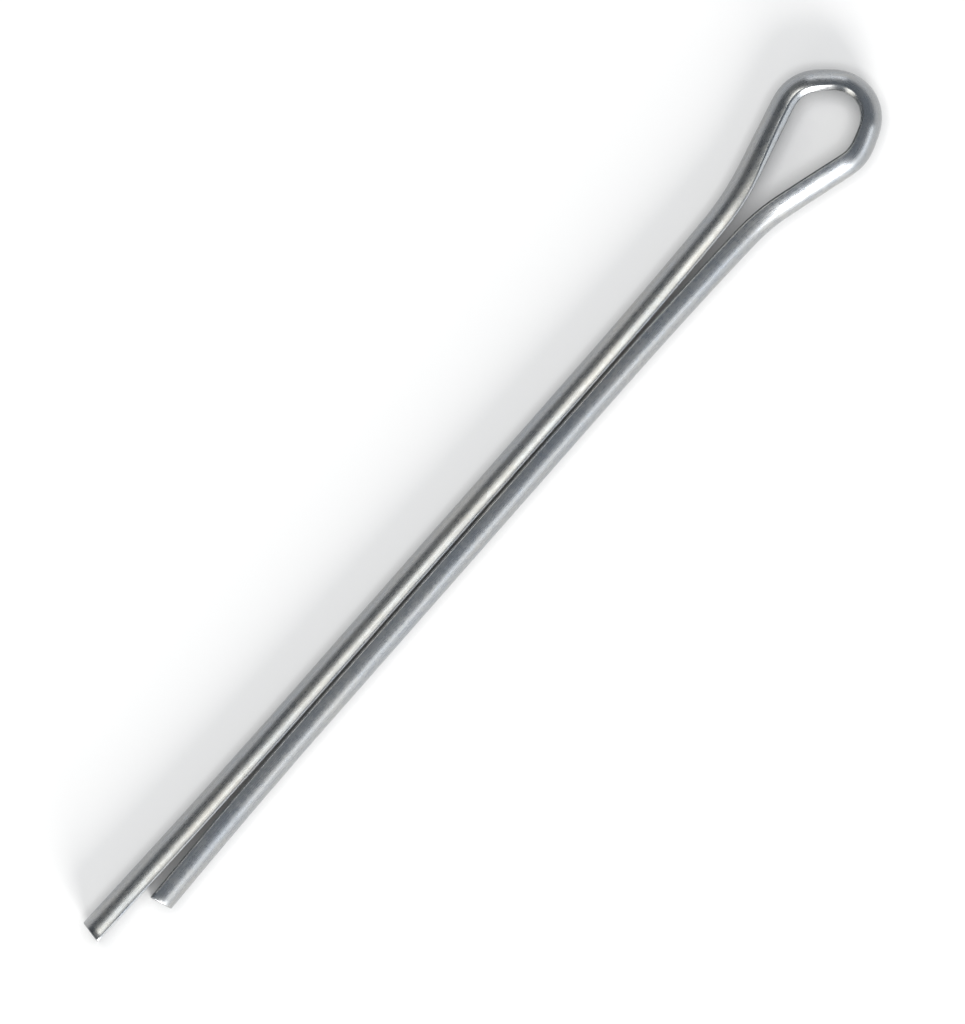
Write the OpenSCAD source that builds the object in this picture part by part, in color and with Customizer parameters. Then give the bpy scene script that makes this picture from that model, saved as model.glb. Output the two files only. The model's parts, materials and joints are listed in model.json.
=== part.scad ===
// Split cotter pin: one length of half-round steel wire, folded into an eye with its flat inwards,
// so that the two legs lie flat to flat and make one round shank. One leg is longer than the other,
// which gives a hold for spreading them. The legs stand a little apart at the eye and at their tips.
//
// The pin lies on its side. X runs along the shank from the eye to the tips, Y points to the side of
// the short leg, and Z is square to the plane of the eye. The origin is on the shank's axis at the
// seat, where the eye meets the rim of its hole and from where the pin's length is measured.

/* [Wire] */
// Diameter of the round shank that the two legs make together
shank_d = 2.8; // [2.3:0.05:3.2]
// Gap between the legs where they lie closed
slot = 0.1; // [0.02:0.02:0.3]
// Bevel along the two edges of the wire's flat
edge_break = 0.12; // [0.04:0.02:0.4]
// How much the wire thins, all round, where it is bent
bend_thin = 0.01; // [0.004:0.002:0.04]

/* [Eye] */
// Width of the eye over its outside
eye_w = 6.6; // [5.6:0.1:8.5]
// Length of the eye, from its nose to the seat
eye_len = 11.2; // [9.6:0.1:16]
// How far the nose leans towards the short leg
eye_lean = 0.2; // [0:0.05:0.5]
// Length of the straight cheek between the nose and each shoulder
cheek_len = 0.95; // [0.3:0.05:1.5]
// Turn of the nose on the side of the short leg, from its top to the cheek
short_turn = 69; // [35:1:75]
// Turn of the nose on the side of the long leg, from its top to the cheek
long_turn = 42; // [35:1:75]
// Length of the straight side between each shoulder and the neck
side_len = 4.4; // [2:0.1:6]
// How far past the seat the neck of the long leg ends
neck_lag = 0.8; // [0:0.1:2]
// Gap between the legs at the seat
seat_gap = 0.5; // [0.34:0.02:1]

/* [Legs] */
// Length of the pin, from the seat to the end of the short leg
pin_len = 50.8; // [36:0.2:76]
// How much further the long leg reaches
leg_step = 3.9; // [0:0.1:10]
// Distance from the seat to where the legs close up
close_at = 12; // [6:0.5:24]
// Length of the turned-out end of the short leg
tip_len = 14.5; // [5:0.5:28]
// How far each tip stands out from the round shank
tip_out = 0.24; // [0.04:0.02:0.8]
// Angle that the leg ends are sheared at, with the flat left longer
shear = 10; // [0:1:30]

/* [Hidden] */
$fn = 96;

steel = [0.74, 0.75, 0.76];

shank_r = shank_d / 2;
half_slot = slot / 2;
wire_t = shank_r - half_slot;
bent_t = wire_t - bend_thin;

// Each bend runs this far into the stretches beside it, inside their slightly thicker wire.
lap = wire_t / 40;
// The legs are made this much too long before their ends are sheared.
stock = wire_t / 2;

// Flat of the wire at the top of the nose
nose_x = bent_t - eye_len;

// The closed stretch ends where the tips start to turn out.
tips_at = pin_len - tip_len;
closed_len = tips_at - close_at;

// The legs curve apart from the closed stretch towards the seat, along one radius.
seat_rise = (seat_gap - slot) / 2;
lead_r = arc_radius(close_at, seat_rise);

// Radius of an arc that leaves a line and rises by `rise` over `run`.
function arc_radius(run, rise) = (run * run + rise * rise) / (2 * rise);

// Half-round section with its flat on the Y axis and its round back towards +X, inset by `thin`.
module wire_section(thin = 0) {
  flat_x = half_slot + thin;
  flat_y = sqrt(pow(shank_r - thin, 2) - pow(flat_x, 2)) - edge_break;
  translate([-half_slot, 0])
    intersection() {
      circle(r = shank_r - thin);
      polygon([
        [flat_x, -flat_y],
        [flat_x, flat_y],
        [flat_x + shank_d, flat_y + shank_d],
        [flat_x + shank_d, -flat_y - shank_d],
      ]);
    }
}

// Straight wire along +X, with the middle of its flat on the X axis and its back towards +Y.
module straight(length) {
  rotate([90, 0, 90])
    linear_extrude(height = length) wire_section();
}

// Wire bent about the Z axis from +X towards +Y, its flat towards the axis.
module bend_flat_in(radius, angle, thin = 0) {
  rotate_extrude(angle = angle)
    translate([radius, 0]) wire_section(thin);
}

// Wire bent about the Z axis from +X towards +Y, its flat away from the axis.
module bend_flat_out(radius, angle, thin = 0) {
  rotate_extrude(angle = angle)
    translate([radius, 0]) mirror([1, 0]) wire_section(thin);
}

// One half of the pin, on the +Y side: half the eye and the leg that goes on from it.
module half_pin(neck_x, end_x, lean, turn) {
  // Nose and shoulder are bent to one radius, which brings the shoulder out to the eye's width.
  eye_r = eye_w / 2 - bent_t - lean - cheek_len * cos(turn);
  nose_c = [nose_x + eye_r, lean];
  cheek_from = nose_c + eye_r * [-cos(turn), sin(turn)];
  shoulder_c = nose_c + cheek_len * [sin(turn), cos(turn)];

  lead_angle = asin((close_at - neck_x) / lead_r);
  neck_end = [neck_x, half_slot + lead_r * (1 - cos(lead_angle))];
  neck_up = [sin(lead_angle), cos(lead_angle)];

  // The neck bends the other way, to the radius at which the straight side touches both bends.
  reach = neck_end - shoulder_c;
  neck_r = (reach * reach - eye_r * eye_r - side_len * side_len) / (2 * (eye_r - reach * neck_up));
  neck_c = neck_end + neck_r * neck_up;
  apart = neck_c - shoulder_c;
  side_angle = atan2(eye_r + neck_r, side_len) - atan2(apart[1], apart[0]);
  side_from = shoulder_c + eye_r * [sin(side_angle), cos(side_angle)];

  eye_lap = lap / eye_r * 180 / PI;
  neck_lap = lap / neck_r * 180 / PI;

  tip_run = end_x - tips_at;
  tip_r = arc_radius(tip_run, tip_out);
  tip_angle = asin(tip_run / tip_r);
  stock_angle = stock / tip_r * 180 / PI;

  // Nose, from its top to the cheek
  translate([nose_x, lean, 0]) translate([eye_r, 0, 0])
    rotate([0, 0, 180]) mirror([0, 1, 0])
      bend_flat_in(eye_r, turn + eye_lap, bend_thin);

  // Straight cheek
  translate(cheek_from) rotate([0, 0, 90 - turn]) straight(cheek_len);

  // Shoulder, where the eye is widest
  translate(shoulder_c) rotate([0, 0, 90 - side_angle - eye_lap])
    bend_flat_in(eye_r, 90 - turn + side_angle + 2 * eye_lap, bend_thin);

  // Straight side of the eye
  translate(side_from) rotate([0, 0, -side_angle]) straight(side_len);

  // Neck, where the side turns into the leg
  translate(neck_c) rotate([0, 0, 270 - side_angle - neck_lap])
    bend_flat_out(neck_r, side_angle - lead_angle + 2 * neck_lap, bend_thin);

  // Leg closing up from the neck
  translate([close_at, half_slot, 0]) translate([0, lead_r, 0])
    rotate([0, 0, 270]) mirror([0, 1, 0])
      bend_flat_out(lead_r, lead_angle);

  // Closed stretch of the shank
  translate([close_at, half_slot, 0]) straight(closed_len);

  // Turned-out tip with its sheared end
  difference() {
    translate([tips_at, half_slot, 0]) translate([0, tip_r, 0])
      rotate([0, 0, 270])
        bend_flat_out(tip_r, tip_angle + stock_angle);
    translate([end_x, half_slot + tip_out, 0]) rotate([0, 0, tip_angle + shear])
      translate([0, -shank_d, -shank_d]) cube([shank_d, 3 * shank_d, 2 * shank_d]);
  }
}

module cotter_pin() {
  color(steel) {
    half_pin(neck_x = 0, end_x = pin_len, lean = eye_lean, turn = short_turn);
    mirror([0, 1, 0])
      half_pin(neck_x = neck_lag, end_x = pin_len + leg_step, lean = -eye_lean, turn = long_turn);
  }
}

cotter_pin();
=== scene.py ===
"""Looks of a split cotter pin: half-round zinc-plated wire, folded into an eye with two legs.
It lies on a pale floor, seen from straight above."""

import json
import math

import bpy
import numpy as np
from mathutils import Matrix, Vector, noise


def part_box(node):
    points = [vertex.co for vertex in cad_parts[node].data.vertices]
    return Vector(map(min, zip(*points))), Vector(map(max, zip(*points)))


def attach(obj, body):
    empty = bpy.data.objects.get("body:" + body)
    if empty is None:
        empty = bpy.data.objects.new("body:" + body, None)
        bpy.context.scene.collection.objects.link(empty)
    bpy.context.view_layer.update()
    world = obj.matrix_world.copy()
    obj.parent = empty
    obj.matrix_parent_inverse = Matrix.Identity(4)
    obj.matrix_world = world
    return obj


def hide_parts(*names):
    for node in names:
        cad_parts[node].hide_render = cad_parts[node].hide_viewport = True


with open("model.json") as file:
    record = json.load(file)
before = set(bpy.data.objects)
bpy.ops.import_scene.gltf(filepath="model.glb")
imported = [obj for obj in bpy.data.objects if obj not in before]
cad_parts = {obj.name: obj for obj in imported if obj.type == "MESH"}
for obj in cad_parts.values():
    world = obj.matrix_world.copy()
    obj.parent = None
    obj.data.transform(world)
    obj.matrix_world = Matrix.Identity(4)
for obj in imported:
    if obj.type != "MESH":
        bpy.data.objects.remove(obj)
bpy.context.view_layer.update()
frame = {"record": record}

MM = 0.001

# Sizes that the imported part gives, in millimetres
part_low, part_high = (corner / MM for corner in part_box("cotter_pin"))
shank = next(mount for mount in frame["record"]["mounts"] if mount["name"] == "shank")
SHANK_R = shank["dims"]["r_mm"]
EYE_LEN = -part_low.x
EYE_HALF = (part_high.y - part_low.y) / 2
LONG_END = part_high.x
FLOOR_Z = part_low.z

# Middle of the pin as seen from above, in metres
CENTRE = Vector(((part_low.x + part_high.x) / 2, (part_low.y + part_high.y) / 2, 0)) * MM

# The other sizes of the folded wire, in millimetres and degrees
SLOT = 0.1
EYE_LEAN = 0.2
CHEEK = 0.95
SHORT_TURN, LONG_TURN = 69, 42
SIDE = 4.4
NECK_LAG = 0.8
SEAT_GAP = 0.5
CLOSE_AT = 12
SHORT_END = 50.8
TIP_LEN = 14.5
TIP_OUT = 0.24
SHEAR = 10

HALF_SLOT = SLOT / 2
WIRE_T = SHANK_R - HALF_SLOT
TIPS_AT = SHORT_END - TIP_LEN

# Bevel between the wire's flat and its back: its width on the legs and in the eye, its slope, where it
# widens and narrows past the nose towards the long leg, and its two fillets as shares of its width
EDGE, EYE_EDGE = 0.12, 0.46
EDGE_TILT = 40
EDGE_GROWS, EDGE_SHRINKS = (-2.0, 0.5), (4.5, 10.0)
BACK_FILLET, FLAT_FILLET = 0.4, 0.3

# Thinning of the wire at the nose, and how far it reaches
NOSE_THIN, NOSE_REACH = 0.16, 2.6

# Sheared ends: radius of the rolled edge, length of the burr and the share of the shank's radius below
# which it grows, and the stretch over which the rings turn from square to the shear
ROLL_TOP, ROLL_BOTTOM = 0.06, 0.04
BURR, BURR_FROM = 0.05, 0.7
SHEAR_REACH = 2.0

# Unevenness of the drawn wire, and its waves per millimetre along and across the wire
WAVER = 0.006
WAVER_ALONG, WAVER_ACROSS = 0.7, 0.9

# Middle of the wire's section, outwards from its flat, and the distance from there at which a rolled edge
# has its full radius
CORE, CORE_R = 0.42 * WIRE_T, 0.75

# How finely the wire is drawn: points of its path and the softening of its bends, then its rings,
# the points of each ring, and the rings of each end
PATH_STEP, PATH_BLUR = 0.04, 0.3
BLUR_SIGMAS = 3
RING_GAP, RING_TURN = 0.22, math.radians(2.6)
FLAT_POINTS, FILLET_POINTS, BACK_POINTS = 9, 5, 37
END_GAP = 0.3
CAP_SHRINKS = 0.97, 0.75, 0.5, 0.25
ROLL_STEPS = 5


# Path of the wire's flat


def unit(angle):
    """Unit vector at an angle in radians, or one row for each of several angles."""
    return np.stack([np.cos(angle), np.sin(angle)], axis=-1)


def arc(centre, radius, start, end):
    """Points on an arc between two angles in degrees."""
    count = max(3, math.ceil(radius * math.radians(abs(end - start)) / PATH_STEP))
    return np.asarray(centre) + radius * unit(np.radians(np.linspace(start, end, count)))


def arc_radius(run, rise):
    """Radius of an arc that leaves a line and rises by `rise` over `run`."""
    return (run * run + rise * rise) / (2 * rise)


def half_path(neck_x, end_x, lean, turn):
    """Points of one half of the flat, on the +Y side, from the nose to the tip. Only its bends have points.
    The straight stretches run from one bend to the next."""
    sin_turn, cos_turn = math.sin(math.radians(turn)), math.cos(math.radians(turn))
    eye_r = EYE_HALF - WIRE_T - lean - CHEEK * cos_turn
    nose_c = np.array([WIRE_T - EYE_LEN + eye_r, lean])
    shoulder_c = nose_c + CHEEK * np.array([sin_turn, cos_turn])

    lead_r = arc_radius(CLOSE_AT, (SEAT_GAP - SLOT) / 2)
    lead = math.asin((CLOSE_AT - neck_x) / lead_r)
    neck_end = np.array([neck_x, HALF_SLOT + lead_r * (1 - math.cos(lead))])
    neck_up = np.array([math.sin(lead), math.cos(lead)])

    # The straight side touches the shoulder and the neck, which sets the neck's radius.
    reach = neck_end - shoulder_c
    neck_r = (reach @ reach - eye_r**2 - SIDE**2) / (2 * (eye_r - reach @ neck_up))
    neck_c = neck_end + neck_r * neck_up
    apart = neck_c - shoulder_c
    side = math.degrees(math.atan2(eye_r + neck_r, SIDE) - math.atan2(apart[1], apart[0]))

    tip_run = end_x - TIPS_AT
    tip_r = arc_radius(tip_run, TIP_OUT)
    tip = math.degrees(math.asin(tip_run / tip_r))
    lead = math.degrees(lead)
    return np.vstack([
        arc(nose_c, eye_r, 180, 180 - turn),
        arc(shoulder_c, eye_r, 180 - turn, 90 - side),
        arc(neck_c, neck_r, 270 - side, 270 - lead),
        arc([CLOSE_AT, HALF_SLOT + lead_r], lead_r, 270 - lead, 270),
        arc([TIPS_AT, HALF_SLOT + tip_r], tip_r, 270, 270 + tip),
    ])


def evenly(points, gap):
    """The same polyline with points at equal distances, and those distances from its start."""
    along = np.concatenate([[0], np.cumsum(np.linalg.norm(np.diff(points, axis=0), axis=1))])
    at = np.linspace(0, along[-1], round(along[-1] / gap) + 1)
    return np.column_stack([np.interp(at, along, points[:, k]) for k in (0, 1)]), at


def softened(points, blur):
    """Rounds the change from each bend to the next stretch, with the ends kept."""
    reach = math.ceil(BLUR_SIGMAS * blur / PATH_STEP)
    weight = np.exp(-0.5 * (np.arange(-reach, reach + 1) * PATH_STEP / blur) ** 2)
    weight /= weight.sum()
    padded = np.pad(points, ((reach, reach), (0, 0)), mode="reflect", reflect_type="odd")
    return np.column_stack([np.convolve(padded[:, k], weight, "valid") for k in (0, 1)])


def wire_path():
    """Points of the flat from the short tip round the eye to the long tip, their distances along it,
    and the distance at the nose."""
    short = half_path(0, SHORT_END, EYE_LEAN, SHORT_TURN)
    long = half_path(NECK_LAG, LONG_END, -EYE_LEAN, LONG_TURN) * [1, -1]
    points, along = evenly(np.vstack([short[::-1], long]), PATH_STEP)
    points = softened(points, PATH_BLUR)
    return points, along, along[np.argmin(points[:, 0])]


# Section of the wire


def wire_section(edge):
    """Closed loop of (outward, up) points: the flat and the round back, with a soft bevel between them
    that takes up the first `edge` of the wire's thickness."""
    meet = math.acos((HALF_SLOT + edge) / SHANK_R)
    bevel = math.radians(90 + EDGE_TILT)
    back_r, flat_r = BACK_FILLET * edge, FLAT_FILLET * edge
    back_c = (SHANK_R - back_r) * unit(meet) - [HALF_SLOT, 0]
    top = back_c + back_r * unit(bevel)
    width = (top[0] - flat_r * (1 + math.cos(bevel))) / math.sin(bevel)
    flat_c = np.array([flat_r, top[1] + width * math.cos(bevel) - flat_r * math.sin(bevel)])

    flat_up = np.linspace(-flat_c[1], flat_c[1], FLAT_POINTS + 2)[1:-1]
    flat = np.column_stack([np.zeros(FLAT_POINTS), flat_up])
    by_flat = flat_c + flat_r * unit(np.linspace(math.pi, bevel, FILLET_POINTS))
    by_back = back_c + back_r * unit(np.linspace(bevel, meet, FILLET_POINTS))
    back = SHANK_R * unit(np.linspace(meet, -meet, BACK_POINTS + 2)[1:-1]) - [HALF_SLOT, 0]
    upper = np.vstack([by_flat, by_back])
    return np.vstack([flat, upper, back, upper[::-1] * [1, -1]])


# Mesh of the wire


def eased(value, start, end):
    """Share of the way from start to end, from 0 to 1 with a soft start and stop."""
    share = min(max((value - start) / (end - start), 0.0), 1.0)
    return share * share * (3 - 2 * share)


def ring_places(points, along):
    """Distances along the wire for its rings, closer together in the bends."""
    heading = np.unwrap(np.arctan2(*np.gradient(points, axis=0).T[::-1]))
    wanted = np.diff(along) / RING_GAP + np.abs(np.diff(heading)) / RING_TURN
    count = np.concatenate([[0], np.cumsum(wanted)])
    return np.interp(np.linspace(0, count[-1], round(count[-1]) + 1), count, along)


def pin_mesh():
    """Rings of points round the wire, from the short tip to the long tip: the points, the same points on
    a straight wire, how far each belongs to a cut, and how many rings and points to a ring there are."""
    points, along, nose_at = wire_path()
    tangent = np.gradient(points, axis=0)
    tangent /= np.linalg.norm(tangent, axis=1)[:, None]
    length = along[-1]
    slope = math.tan(math.radians(SHEAR))

    section = wire_section(EDGE)
    height = section[:, 1] / SHANK_R
    roll = ROLL_BOTTOM + (ROLL_TOP - ROLL_BOTTOM) * (height * 0.5 + 0.5)
    burr = BURR * np.clip(-height - BURR_FROM, 0, 1) / (1 - BURR_FROM)

    def ring(place, shrink=0.0, forward=0.0, skew=0.0):
        """One ring at a place along the wire, drawn in towards its middle and moved along the wire."""
        at = np.array([np.interp(place, along, points[:, k]) for k in (0, 1)])
        ahead = np.array([np.interp(place, along, tangent[:, k]) for k in (0, 1)])
        ahead /= np.linalg.norm(ahead)
        outward = np.array([ahead[1], -ahead[0]])
        past = place - nose_at
        worn = eased(past, *EDGE_GROWS) * (1 - eased(past, *EDGE_SHRINKS))
        out, up = wire_section(EDGE + (EYE_EDGE - EDGE) * worn).T
        out = CORE + (out - CORE) * (1 - shrink)
        up = up * (1 - shrink)
        thin = NOSE_THIN * math.exp(-((past / NOSE_REACH) ** 2))
        out = out + thin * (1 - out / WIRE_T)
        push = forward + skew * out
        plan = at + np.outer(out, outward) + np.outer(push, ahead)
        return np.column_stack([plan, up]), np.column_stack([place + push, out, up])

    def end_rings(place, sign):
        """Rings of a sheared end and their shares of the cut, from the end's middle outwards to where its
        rolled edge meets the wire."""
        skew = -sign * slope
        made = [(ring(place, shrink, 0.0, skew), 1.0) for shrink in CAP_SHRINKS]
        for angle in np.radians(np.linspace(90, 0, ROLL_STEPS + 1)):
            shrink = roll * (1 - math.cos(angle)) / CORE_R
            back = roll * (math.sin(angle) - 1)
            lip = burr * math.sin(angle)
            made.append((ring(place, shrink, sign * (back + lip), skew), math.sin(angle)))
        return made

    rings = end_rings(0, -1)
    for place in ring_places(points, along):
        if END_GAP <= place <= length - END_GAP:
            near = max(0.0, 1 - place / SHEAR_REACH) - max(0.0, 1 - (length - place) / SHEAR_REACH)
            rings.append((ring(place, skew=near * slope), 0.0))
    rings += end_rings(length, 1)[::-1]

    coords = np.vstack([bent for (bent, _), _ in rings])
    straight = np.vstack([unbent for (_, unbent), _ in rings])
    cuts = np.repeat([cut for _, cut in rings], len(section))
    return coords, straight, cuts, len(rings), len(section)


def waver(coords, straight):
    """Small unevenness of drawn wire, as a change of each point's height over the wire's middle."""
    moved = coords.copy()
    for k, (s, out, up) in enumerate(straight):
        wave = noise.noise(Vector((s * WAVER_ALONG, out * WAVER_ACROSS, up * WAVER_ACROSS)))
        moved[k, 2] += WAVER * wave * up / SHANK_R
    return moved


def tube_faces(ring_count, around):
    """Quads from ring to ring, then triangles from the first and the last ring to the two end points."""
    faces = []
    for i in range(ring_count - 1):
        a, b = i * around, (i + 1) * around
        for j in range(around):
            k = (j + 1) % around
            faces.append((a + j, a + k, b + k, b + j))
    start, end = ring_count * around, ring_count * around + 1
    last = (ring_count - 1) * around
    for j in range(around):
        k = (j + 1) % around
        faces.append((start, k, j))
        faces.append((end, last + j, last + k))
    return faces


def keep_on_points(mesh, name, kind, field, values):
    """Keeps a value for each point of the mesh, for its material to read."""
    attribute = mesh.attributes.new(name, kind, "POINT")
    attribute.data.foreach_set(field, values.astype(np.float32).ravel())


def unwrap_tube(mesh, ring_count, around):
    """UV map that runs round the wire and along it. The last quad of each ring closes the round."""
    corner_point = np.zeros(len(mesh.loops), int)
    mesh.loops.foreach_get("vertex_index", corner_point)
    j = corner_point % around
    i = np.minimum(corner_point // around, ring_count - 1)
    face = np.repeat(np.arange(len(mesh.polygons)), [p.loop_total for p in mesh.polygons])
    quads = (ring_count - 1) * around
    closes = (face < quads) & (face % around == around - 1) & (j == 0)
    across = np.where(closes, around, j) / around
    uv = mesh.uv_layers.new(name="wire_uv")
    uv.data.foreach_set("uv", np.column_stack([across, i / ring_count]).astype(np.float32).ravel())


def build_pin():
    coords, straight, cuts, ring_count, around = pin_mesh()
    coords = waver(coords, straight)
    first, last = slice(None, around), slice(-around, None)
    vertices = np.vstack([coords, coords[first].mean(0), coords[last].mean(0)]) * MM

    mesh = bpy.data.meshes.new("pin_wire")
    mesh.from_pydata(vertices.tolist(), [], tube_faces(ring_count, around))
    mesh.shade_smooth()

    unbent = np.vstack([straight, straight[first].mean(0), straight[last].mean(0)])
    keep_on_points(mesh, "wire", "FLOAT_VECTOR", "vector", unbent)
    keep_on_points(mesh, "cut", "FLOAT", "value", np.concatenate([cuts, [1.0, 1.0]]))
    unwrap_tube(mesh, ring_count, around)

    pin = bpy.data.objects.new("pin_wire", mesh)
    bpy.context.scene.collection.objects.link(pin)
    return pin


# Materials


class Nodes:
    """Short ways to add and link the nodes of one material or world."""

    # Sockets of a Mix node that mixes colours
    MIX_SHARE, MIX_A, MIX_B, MIX_RESULT = 0, 6, 7, 2

    def __init__(self, tree):
        self.tree = tree
        tree.nodes.clear()

    def add(self, kind, **settings):
        node = self.tree.nodes.new(kind)
        for name, value in settings.items():
            setattr(node, name, value)
        return node

    def link(self, source, target):
        self.tree.links.new(source, target)

    def feed(self, value, target):
        """Sets a socket to a number or a colour, or links it to another node's output."""
        if isinstance(value, tuple):
            target.default_value = (*value, 1.0)
        elif isinstance(value, (int, float)):
            target.default_value = value
        else:
            self.link(value, target)

    def stretched(self, place, scale):
        """`place` times `scale` along each of its axes."""
        node = self.add("ShaderNodeMapping")
        node.inputs["Scale"].default_value = scale
        self.link(place, node.inputs["Vector"])
        return node.outputs["Vector"]

    def noise(self, place, scale, detail, rough):
        """A noise texture read at `place` times `scale`."""
        texture = self.add("ShaderNodeTexNoise")
        texture.inputs["Scale"].default_value = 1.0
        texture.inputs["Detail"].default_value = detail
        texture.inputs["Roughness"].default_value = rough
        self.link(self.stretched(place, scale), texture.inputs["Vector"])
        return texture.outputs["Fac"]

    def cells(self, place, scale):
        """Distance to the nearest of many scattered points, read at `place` times `scale`."""
        texture = self.add("ShaderNodeTexVoronoi", feature="F1")
        texture.inputs["Scale"].default_value = 1.0
        self.link(self.stretched(place, scale), texture.inputs["Vector"])
        return texture.outputs["Distance"]

    def span(self, value, source, target):
        """`value` in the span `source`, mapped to the span `target` and held inside it."""
        node = self.add("ShaderNodeMapRange")
        for name, number in zip(("From Min", "From Max", "To Min", "To Max"), (*source, *target)):
            node.inputs[name].default_value = number
        self.link(value, node.inputs["Value"])
        return node.outputs["Result"]

    def math(self, kind, a, b=0.0):
        node = self.add("ShaderNodeMath", operation=kind)
        self.feed(a, node.inputs[0])
        self.feed(b, node.inputs[1])
        return node.outputs["Value"]

    def mix(self, share, a, b):
        """Colour between a, where the share is 0, and b, where it is 1."""
        node = self.add("ShaderNodeMix", data_type="RGBA")
        self.feed(share, node.inputs[self.MIX_SHARE])
        self.feed(a, node.inputs[self.MIX_A])
        self.feed(b, node.inputs[self.MIX_B])
        return node.outputs[self.MIX_RESULT]

    def bump(self, height, depth, before=None):
        """Normal over a relief of the given depth in metres, on top of the normal before it."""
        node = self.add("ShaderNodeBump")
        node.inputs["Strength"].default_value = 1.0
        node.inputs["Distance"].default_value = depth
        self.link(height, node.inputs["Height"])
        if before is not None:
            self.link(before, node.inputs["Normal"])
        return node.outputs["Normal"]


def zinc_steel():
    """Drawn wire under a thin bright zinc plate: fine lines along the wire, faint mottling and tiny pits,
    with torn marks on the sheared ends."""
    # How fine each texture is along the wire, outwards and up, per millimetre
    line_scale, mottle_scale, cloud_scale = (0.12, 13, 13), (2.2, 3.2, 3.2), (0.22, 0.8, 0.8)
    pit_scale, mark_scale = (3.0, 4.5, 4.5), (0.5, 16, 2.2)

    # The stretch of each texture's values that counts, and where pits lie
    line_range, mottle_range, tint_range = (0.3, 0.7), (0.35, 0.65), (0.36, 0.64)
    pit_rim, pit_patches = (0.06, 0.16), (0.56, 0.66)

    # Colours of the plate, its lines and pits, and the sheared ends, with how much the last three show
    cool, warm = (0.345, 0.362, 0.384), (0.405, 0.402, 0.393)
    line_colour, pit_colour = (0.29, 0.30, 0.315), (0.24, 0.245, 0.26)
    cut_dark, cut_pale = (0.26, 0.265, 0.275), (0.42, 0.415, 0.41)
    line_shows, pit_shows, cut_shows = 0.10, 0.2, 0.8
    cloud_share, mottle_share = 0.6, 0.4

    # Roughness over the lines, what mottling, pits and cuts add to it, and each relief's depth in metres
    line_rough, mottle_rough, pit_rough, cut_rough = (0.25, 0.30), (-0.015, 0.02), 0.1, 0.22
    line_depth, mottle_depth, pit_depth, mark_depth = 0.5e-6, 0.85e-6, 0.4e-6, 8e-6

    material = bpy.data.materials.new("zinc_steel")
    material.use_nodes = True
    n = Nodes(material.node_tree)
    wire = n.add("ShaderNodeAttribute", attribute_name="wire").outputs["Vector"]
    cut = n.add("ShaderNodeAttribute", attribute_name="cut").outputs["Fac"]

    lines = n.noise(wire, line_scale, detail=3, rough=0.6)
    mottle = n.noise(wire, mottle_scale, detail=3, rough=0.55)
    cloud = n.noise(wire, cloud_scale, detail=2, rough=0.5)
    marks = n.noise(wire, mark_scale, detail=3, rough=0.6)
    pit = n.span(n.cells(wire, pit_scale), pit_rim, (1.0, 0.0))
    pit = n.math("MULTIPLY", pit, n.span(mottle, pit_patches, (0.0, 1.0)))

    tint = n.math("ADD", n.math("MULTIPLY", cloud, cloud_share), n.math("MULTIPLY", mottle, mottle_share))
    colour = n.mix(n.span(tint, tint_range, (0.0, 1.0)), cool, warm)
    colour = n.mix(n.span(lines, line_range, (line_shows, 0.0)), colour, line_colour)
    colour = n.mix(n.math("MULTIPLY", pit, pit_shows), colour, pit_colour)
    colour = n.mix(n.math("MULTIPLY", cut, cut_shows), colour, n.mix(marks, cut_dark, cut_pale))

    rough = n.span(lines, line_range, line_rough)
    rough = n.math("ADD", rough, n.span(mottle, mottle_range, mottle_rough))
    rough = n.math("ADD", rough, n.math("MULTIPLY", pit, pit_rough))
    rough = n.math("ADD", rough, n.math("MULTIPLY", cut, cut_rough))

    normal = n.bump(lines, line_depth)
    normal = n.bump(mottle, mottle_depth, normal)
    normal = n.bump(n.math("MULTIPLY", pit, -1.0), pit_depth, normal)
    normal = n.bump(n.math("MULTIPLY", marks, cut), mark_depth, normal)

    surface = n.add("ShaderNodeBsdfPrincipled")
    surface.inputs["Metallic"].default_value = 1.0
    surface.inputs["Anisotropic"].default_value = 0.7
    n.link(colour, surface.inputs["Base Color"])
    n.link(rough, surface.inputs["Roughness"])
    n.link(normal, surface.inputs["Normal"])
    grain = n.add("ShaderNodeTangent", direction_type="UV_MAP", uv_map="wire_uv")
    n.link(grain.outputs["Tangent"], surface.inputs["Tangent"])
    n.link(surface.outputs["BSDF"], n.add("ShaderNodeOutputMaterial").inputs["Surface"])
    return material


def pale_floor():
    """A pale floor that keeps the shadow, lifted to near white by a glow where it is seen, mirrored or seen
    through.
    The glow is dimmed by ambient occlusion close beside the pin and under it, which is a painted contact
    shade."""
    grey = (0.48, 0.48, 0.48)
    lifted = 0.57
    close_by = 1.0 * MM

    material = bpy.data.materials.new("pale_floor")
    material.use_nodes = True
    n = Nodes(material.node_tree)
    matt = n.add("ShaderNodeBsdfDiffuse")
    n.feed(grey, matt.inputs["Color"])
    ray = n.add("ShaderNodeLightPath").outputs
    seen = n.math("MAXIMUM", ray["Is Glossy Ray"], ray["Is Transmission Ray"])
    seen = n.math("MAXIMUM", ray["Is Camera Ray"], seen)
    # Ambient occlusion dims the floor's glow within close_by of the pin, painting contact shade beside and
    # under it
    painted_contact_shade = n.add("ShaderNodeAmbientOcclusion", samples=8)
    painted_contact_shade.inputs["Distance"].default_value = close_by
    lift = n.add("ShaderNodeEmission")
    strength = n.math("MULTIPLY", n.math("MULTIPLY", seen, painted_contact_shade.outputs["AO"]), lifted)
    n.link(strength, lift.inputs["Strength"])
    both = n.add("ShaderNodeAddShader")
    n.link(matt.outputs["BSDF"], both.inputs[0])
    n.link(lift.outputs["Emission"], both.inputs[1])
    n.link(both.outputs["Shader"], n.add("ShaderNodeOutputMaterial").inputs["Surface"])
    return material


# Stage


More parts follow.
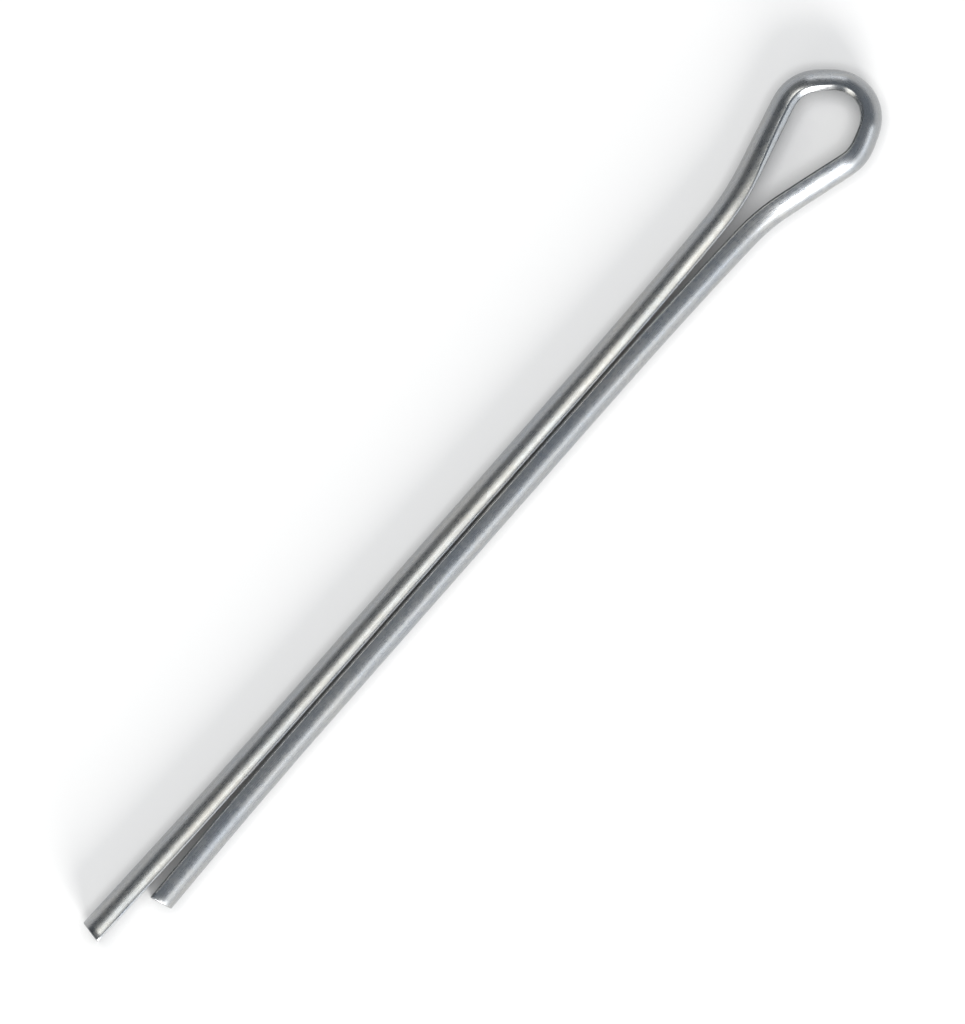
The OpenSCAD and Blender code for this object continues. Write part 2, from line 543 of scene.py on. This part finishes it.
def make_floor():
    """A square floor at the height of the pin's underside."""
    half = 3.0
    corners = [(x * half, y * half, FLOOR_Z * MM) for x, y in ((-1, -1), (1, -1), (1, 1), (-1, 1))]
    mesh = bpy.data.meshes.new("floor")
    mesh.from_pydata(corners, [], [(0, 1, 2, 3)])
    floor = bpy.data.objects.new("floor", mesh)
    bpy.context.scene.collection.objects.link(floor)
    mesh.materials.append(pale_floor())


def make_world():
    """A soft studio: dim on the long leg's side, and a little brighter towards both ends of the pin."""
    sky_colour = (0.86, 0.95, 1.07)
    side_span, side_strength = (-0.9, 0.2), (0.10, 0.28)
    end_span, end_strength = (0.3, 0.85), (0.0, 0.06)

    world = bpy.data.worlds.new("studio")
    bpy.context.scene.world = world
    world.use_nodes = True
    n = Nodes(world.node_tree)
    direction = n.add("ShaderNodeSeparateXYZ")
    n.link(n.add("ShaderNodeTexCoord").outputs["Generated"], direction.inputs["Vector"])
    across = n.span(direction.outputs["Y"], side_span, side_strength)
    along = n.span(n.math("ABSOLUTE", direction.outputs["X"]), end_span, end_strength)
    sky = n.add("ShaderNodeBackground")
    n.feed(sky_colour, sky.inputs["Color"])
    n.link(n.math("ADD", across, along), sky.inputs["Strength"])
    n.link(sky.outputs["Background"], n.add("ShaderNodeOutputWorld").inputs["Surface"])


def make_camera():
    """Straight above the pin, far enough off to see it almost without perspective, and turned as the
    photograph shows it. Sizes are in millimetres, and the near and far ends of its view in metres."""
    lens, sensor = 1000, 36
    roll = 131.34
    frame_h = 58.5
    nearest, farthest = 0.01, 20

    data = bpy.data.cameras.new("camera")
    data.lens, data.sensor_width = lens, sensor
    data.clip_start, data.clip_end = nearest, farthest
    camera = bpy.data.objects.new("camera", data)
    camera.location = CENTRE + Vector((0, 0, frame_h * MM * lens / sensor))
    camera.rotation_euler = (0, 0, math.radians(roll))
    bpy.context.scene.collection.objects.link(camera)
    bpy.context.scene.camera = camera


def softbox(name, place, size, radiance, colour):
    """An area lamp at a place given from the pin's middle, in metres. It faces the pin, and its width runs
    along X as nearly as that allows."""
    lamp = bpy.data.lights.new(name, "AREA")
    lamp.shape = "RECTANGLE"
    lamp.size, lamp.size_y = size
    lamp.energy = radiance * math.pi * size[0] * size[1]
    lamp.color = colour
    holder = bpy.data.objects.new(name, lamp)
    away = Vector(place).normalized()
    level = (Vector((1, 0, 0)) - away * away.x).normalized()
    holder.matrix_world = Matrix((level, away.cross(level), away)).transposed().to_4x4()
    holder.location = CENTRE + Vector(place)
    bpy.context.scene.collection.objects.link(holder)


pin = build_pin()
pin.data.materials.append(zinc_steel())
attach(pin, "root")
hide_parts("cotter_pin")

make_floor()
make_world()
make_camera()
softbox("overhead", place=(-0.20, -1.20, 2.06), size=(0.66, 1.16), radiance=4.05, colour=(1.0, 0.98, 0.91))
softbox("side", place=(-0.62, 2.34, 0.42), size=(1.4, 0.80), radiance=2.4, colour=(0.98, 1.0, 1.01))
softbox("side_end", place=(0.60, 2.32, 0.34), size=(1.0, 0.64), radiance=4.2, colour=(0.98, 1.0, 1.01))
softbox("low", place=(-1.75, -1.45, 0.22), size=(1.4, 0.40), radiance=2.9, colour=(1.0, 1.0, 1.0))
softbox("key", place=(1.07, 1.90, 1.02), size=(1.1, 1.2), radiance=18.5, colour=(1.0, 0.985, 0.96))
softbox("inner", place=(2.20, 0.30, 0.70), size=(1.2, 1.0), radiance=3.6, colour=(1.0, 0.98, 0.92))
bpy.context.scene.view_settings.view_transform = "Standard"
